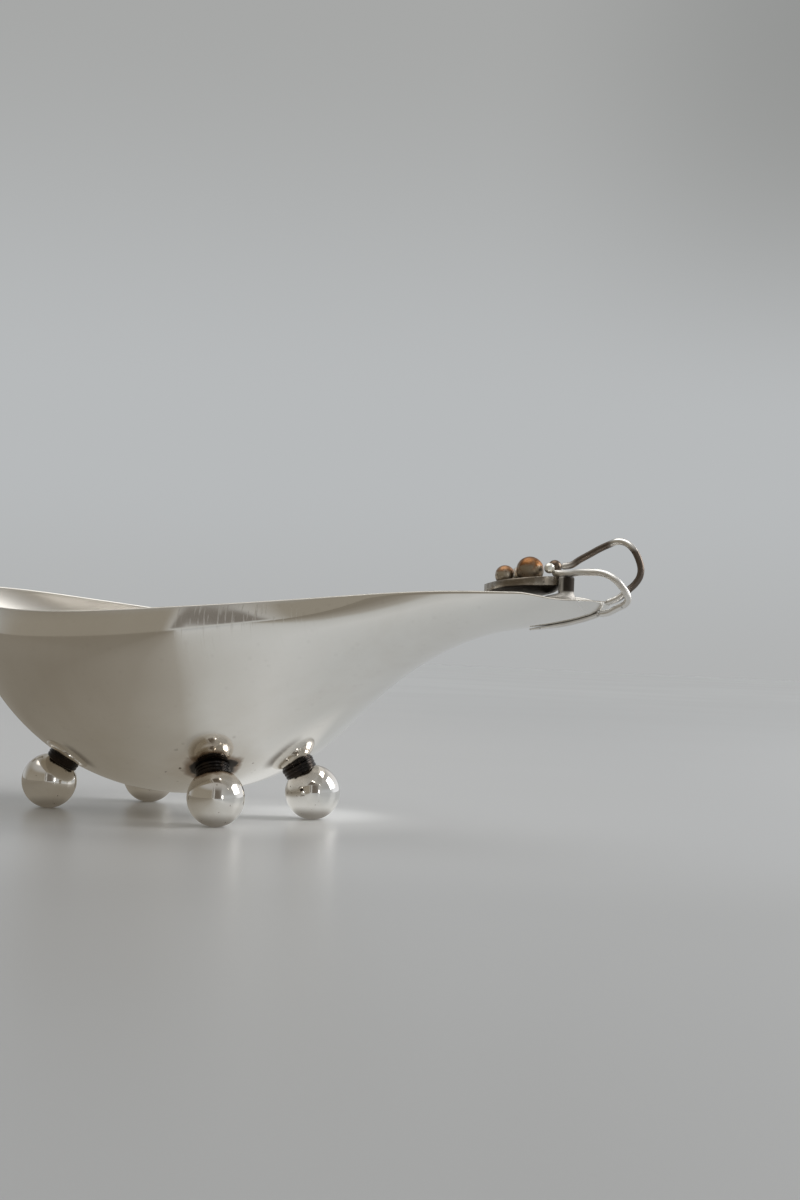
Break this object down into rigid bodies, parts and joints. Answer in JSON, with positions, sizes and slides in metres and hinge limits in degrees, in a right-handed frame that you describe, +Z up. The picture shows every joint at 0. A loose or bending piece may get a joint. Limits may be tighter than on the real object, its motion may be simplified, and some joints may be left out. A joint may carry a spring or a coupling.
{
  "type": "footed two-handled dish",
  "caption": "Round polished bowl on ball feet, drawn out at both ends into trough handles with leaf, berries and looped wire tendrils.",
  "frame": {"origin": "on the ground, under the middle of the bowl", "axes": "+Z up, +X along the two handles"},
  "size_m": [0.2236, 0.091, 0.0605],
  "materials": {
    "polished_silver": "polished silver plate with fine hairline scratches and a warm bloom of tarnish",
    "foot_silver": "bright polished silver plate, lightly speckled",
    "leaf_silver": "silver plate, dulled and darkened in its hollows",
    "wire_silver": "polished silver wire, darker where it is not handled",
    "blackened_collar": "blackened solder collar, satin",
    "gilt_berry": "silver beads with worn amber gilding on top"
  },
  "bodies": {
    "root": {"bowl": "polished_silver", "foot_ball_front": "foot_silver", "foot_ball_right": "foot_silver", "foot_ball_back": "foot_silver", "foot_ball_left": "foot_silver", "foot_collar_front": "blackened_collar", "foot_collar_right": "blackened_collar", "foot_collar_back": "blackened_collar", "foot_collar_left": "blackened_collar", "post_right": "wire_silver", "leaf_right": "leaf_silver", "berry_middle_right": "gilt_berry", "berry_small_right": "gilt_berry", "berry_large_right": "gilt_berry", "berry_near_right": "gilt_berry", "berry_end_right": "gilt_berry", "stem_right": "wire_silver", "tendril_low_right": "wire_silver", "tendril_high_right": "wire_silver", "post_left": "wire_silver", "leaf_left": "leaf_silver", "berry_middle_left": "gilt_berry", "berry_small_left": "gilt_berry", "berry_large_left": "gilt_berry", "berry_near_left": "gilt_berry", "berry_end_left": "gilt_berry", "stem_left": "wire_silver", "tendril_low_left": "wire_silver", "tendril_high_left": "wire_silver"}
  },
  "joints": []
}
